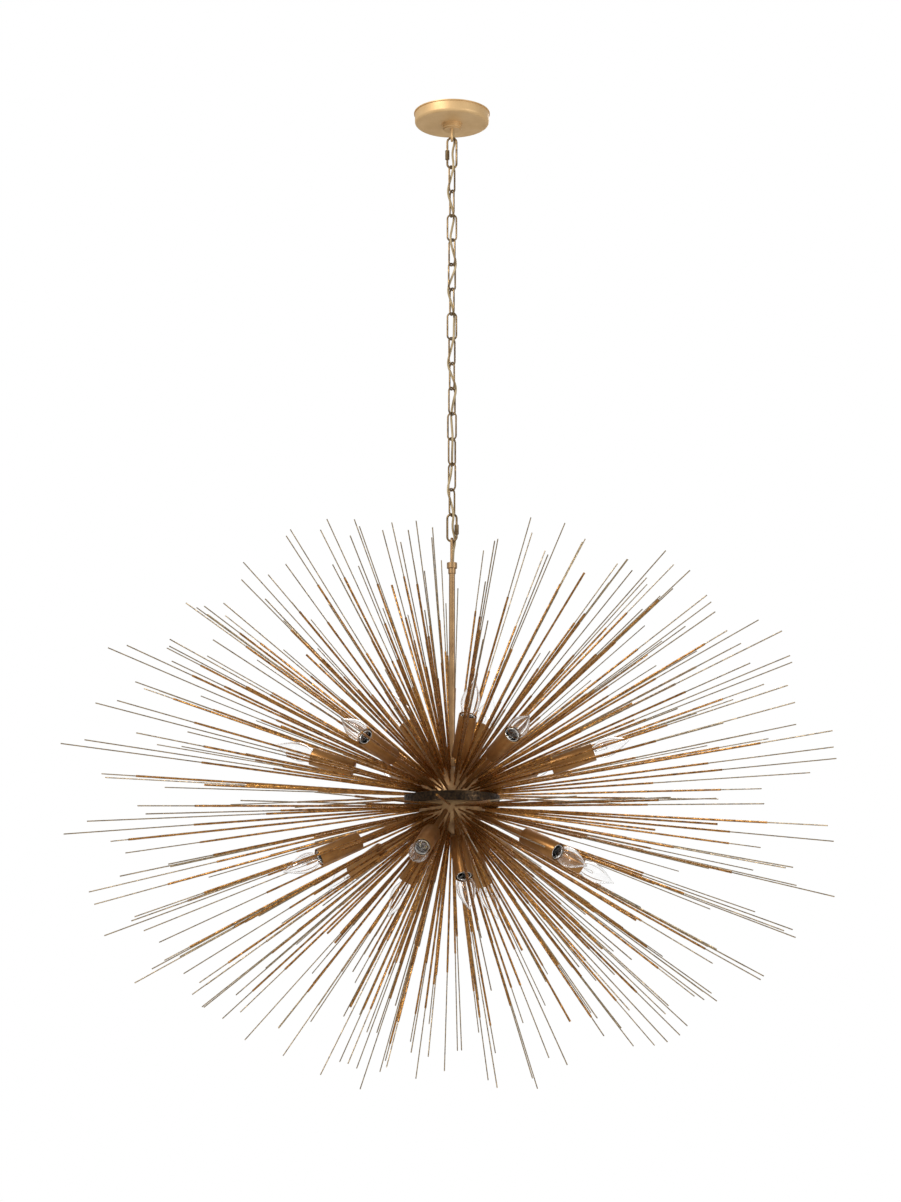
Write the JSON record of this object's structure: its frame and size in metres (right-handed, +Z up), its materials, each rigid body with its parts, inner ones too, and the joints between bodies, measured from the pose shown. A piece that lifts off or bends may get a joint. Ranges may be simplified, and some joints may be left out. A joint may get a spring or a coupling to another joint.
{
  "type": "sputnik chandelier",
  "caption": "Oval burst of thin gold rods and bare candle bulbs round a small hub, hung on an oval-link chain from a shallow round ceiling canopy.",
  "frame": {"origin": "middle of the ceiling strap's top face, where it meets the ceiling; everything hangs below", "axes": "+Z up along the chain; +X along the strap's slots, to the right of a viewer who looks along +Y"},
  "size_m": [1.2252, 1.258, 1.6335],
  "materials": {
    "canopy_gold": "satin aged gold leaf paint",
    "rod_gold": "hand-rubbed antique gold with darker hollows",
    "tip_wire": "dull grey-gold wire",
    "cup_gold": "satin antique gold",
    "hub_gold": "satin antique gold",
    "chain_gold": "antique gold, darker where the links rub",
    "dark_plate": "dark bronze",
    "zinc": "zinc plated",
    "green_screw": "green dyed zinc",
    "cord_gold": "clear gold vinyl over stranded wire",
    "lead_white": "white insulation",
    "bakelite": "black moulded phenolic",
    "socket_metal": "bright rolled aluminium",
    "cap_brass": "bright brass",
    "bulb_glass": "clear thin glass",
    "filament": "wire on a glass mount"
  },
  "bodies": {
    "root": {"ceiling_crossbar": "zinc", "crossbar_nipple": "zinc", "nipple_nuts": "zinc", "ground_screw": "green_screw", "hang_loop": "canopy_gold", "supply_cord": "cord_gold"},
    "collar": {"collar_ring": "canopy_gold"},
    "canopy": {"canopy": "canopy_gold"},
    "quick_link_top": {"quick_link_top": "chain_gold"},
    "chain_link_01": {"chain_link_01": "chain_gold"},
    "chain_link_02": {"chain_link_02": "chain_gold"},
    "chain_link_03": {"chain_link_03": "chain_gold"},
    "chain_link_04": {"chain_link_04": "chain_gold"},
    "chain_link_05": {"chain_link_05": "chain_gold"},
    "chain_link_06": {"chain_link_06": "chain_gold"},
    "chain_link_07": {"chain_link_07": "chain_gold"},
    "chain_link_08": {"chain_link_08": "chain_gold"},
    "chain_link_09": {"chain_link_09": "chain_gold"},
    "chain_link_10": {"chain_link_10": "chain_gold"},
    "chain_link_11": {"chain_link_11": "chain_gold"},
    "chain_link_12": {"chain_link_12": "chain_gold"},
    "chain_link_13": {"chain_link_13": "chain_gold"},
    "chain_link_14": {"chain_link_14": "chain_gold"},
    "quick_link_bottom": {"quick_link_bottom": "chain_gold"},
    "top_sleeve_nut": {"quick_link_top_nut": "chain_gold"},
    "bottom_sleeve_nut": {"quick_link_bottom_nut": "chain_gold"},
    "fixture": {"arm_nuts": "zinc", "bottom_cap_nut": "hub_gold", "bulb_caps": "cap_brass", "bulb_filaments": "filament", "bulb_glass": "bulb_glass", "cup_nuts": "zinc", "equator_band": "dark_plate", "flange_nuts": "dark_plate", "flange_screws": "dark_plate", "lamp_leads": "lead_white", "lower_flange_plate": "dark_plate", "lower_hub_shell": "hub_gold", "lower_lamp_arms": "cup_gold", "lower_rod_tips": "tip_wire", "lower_rods": "rod_gold", "lower_socket_cups": "cup_gold", "lower_splice_block": "bakelite", "socket_bodies": "bakelite", "socket_contacts": "cap_brass", "socket_shells": "socket_metal", "stem_loop": "hub_gold", "stem_nuts": "hub_gold", "stem_tube": "hub_gold", "trim_rings": "socket_metal", "upper_flange_plate": "dark_plate", "upper_hub_shell": "hub_gold", "upper_lamp_arms": "cup_gold", "upper_rod_tips": "tip_wire", "upper_rods": "rod_gold", "upper_socket_cups": "cup_gold", "upper_splice_block": "bakelite"}
  },
  "joints": [
    {"name": "collar_slide", "type": "slide", "parent": "root", "child": "collar", "axis": [0, 0, -1], "range_m": [0, 0.03]},
    {"name": "canopy_slide", "type": "slide", "parent": "root", "child": "canopy", "axis": [0, 0, -1], "range_m": [0, 0.03]},
    {"name": "swing_01", "type": "hinge", "parent": "root", "child": "quick_link_top", "pos_m": [0, 0, -0.04835], "axis": [0, 1, 0], "range_deg": [-7, 7], "deforming": ["supply_cord"]},
    {"name": "swing_02", "type": "hinge", "parent": "quick_link_top", "child": "chain_link_01", "pos_m": [0, 0, -0.09795], "axis": [1, 0, 0], "range_deg": [-10, 10]},
    {"name": "swing_03", "type": "hinge", "parent": "chain_link_01", "child": "chain_link_02", "pos_m": [0, 0, -0.14065], "axis": [-0.6157, -0.788, 0], "range_deg": [-15, 15]},
    {"name": "swing_04", "type": "hinge", "parent": "chain_link_02", "child": "chain_link_03", "pos_m": [0, 0, -0.18365], "axis": [-0.4384, 0.8988, 0], "range_deg": [-15, 15]},
    {"name": "swing_05", "type": "hinge", "parent": "chain_link_03", "child": "chain_link_04", "pos_m": [0, 0, -0.22665], "axis": [1, 0, 0], "range_deg": [-15, 15]},
    {"name": "swing_06", "type": "hinge", "parent": "chain_link_04", "child": "chain_link_05", "pos_m": [0, 0, -0.26965], "axis": [0.6428, -0.766, 0], "range_deg": [-15, 15]},
    {"name": "swing_07", "type": "hinge", "parent": "chain_link_05", "child": "chain_link_06", "pos_m": [0, 0, -0.31265], "axis": [-0.7314, -0.682, 0], "range_deg": [-15, 15]},
    {"name": "swing_08", "type": "hinge", "parent": "chain_link_06", "child": "chain_link_07", "pos_m": [0, 0, -0.35565], "axis": [-0.4384, 0.8988, 0], "range_deg": [-15, 15]},
    {"name": "swing_09", "type": "hinge", "parent": "chain_link_07", "child": "chain_link_08", "pos_m": [0, 0, -0.39865], "axis": [-1, 0, 0], "range_deg": [-15, 15]},
    {"name": "swing_10", "type": "hinge", "parent": "chain_link_08", "child": "chain_link_09", "pos_m": [0, 0, -0.44165], "axis": [0.6428, 0.766, 0], "range_deg": [-15, 15]},
    {"name": "swing_11", "type": "hinge", "parent": "chain_link_09", "child": "chain_link_10", "pos_m": [0, 0, -0.48465], "axis": [0.5, -0.866, 0], "range_deg": [-15, 15]},
    {"name": "swing_12", "type": "hinge", "parent": "chain_link_10", "child": "chain_link_11", "pos_m": [0, 0, -0.52765], "axis": [-0.6691, -0.7431, 0], "range_deg": [-15, 15]},
    {"name": "swing_13", "type": "hinge", "parent": "chain_link_11", "child": "chain_link_12", "pos_m": [0, 0, -0.57065], "axis": [0.9063, -0.4226, 0], "range_deg": [-15, 15]},
    {"name": "swing_14", "type": "hinge", "parent": "chain_link_12", "child": "chain_link_13", "pos_m": [0, 0, -0.61365], "axis": [0.7314, 0.682, 0], "range_deg": [-15, 15]},
    {"name": "swing_15", "type": "hinge", "parent": "chain_link_13", "child": "chain_link_14", "pos_m": [0, 0, -0.65665], "axis": [-0.7314, 0.682, 0], "range_deg": [-15, 15]},
    {"name": "swing_16", "type": "hinge", "parent": "chain_link_14", "child": "quick_link_bottom", "pos_m": [0, 0, -0.69965], "axis": [-0.5592, -0.829, 0], "range_deg": [-10, 10]},
    {"name": "swing_17", "type": "hinge", "parent": "quick_link_bottom", "child": "fixture", "pos_m": [0, 0, -0.74195], "axis": [-0.9903, 0.1392, 0], "range_deg": [-8, 8]},
    {"name": "top_sleeve_slide", "type": "slide", "parent": "quick_link_top", "child": "top_sleeve_nut", "axis": [0, 0, 1], "range_m": [0, 0.009]},
    {"name": "bottom_sleeve_slide", "type": "slide", "parent": "quick_link_bottom", "child": "bottom_sleeve_nut", "axis": [0, 0, 1], "range_m": [0, 0.009]}
  ],
  "couplings": [
    {"joint": "canopy_slide", "follows": "collar_slide", "ratio": 1}
  ]
}
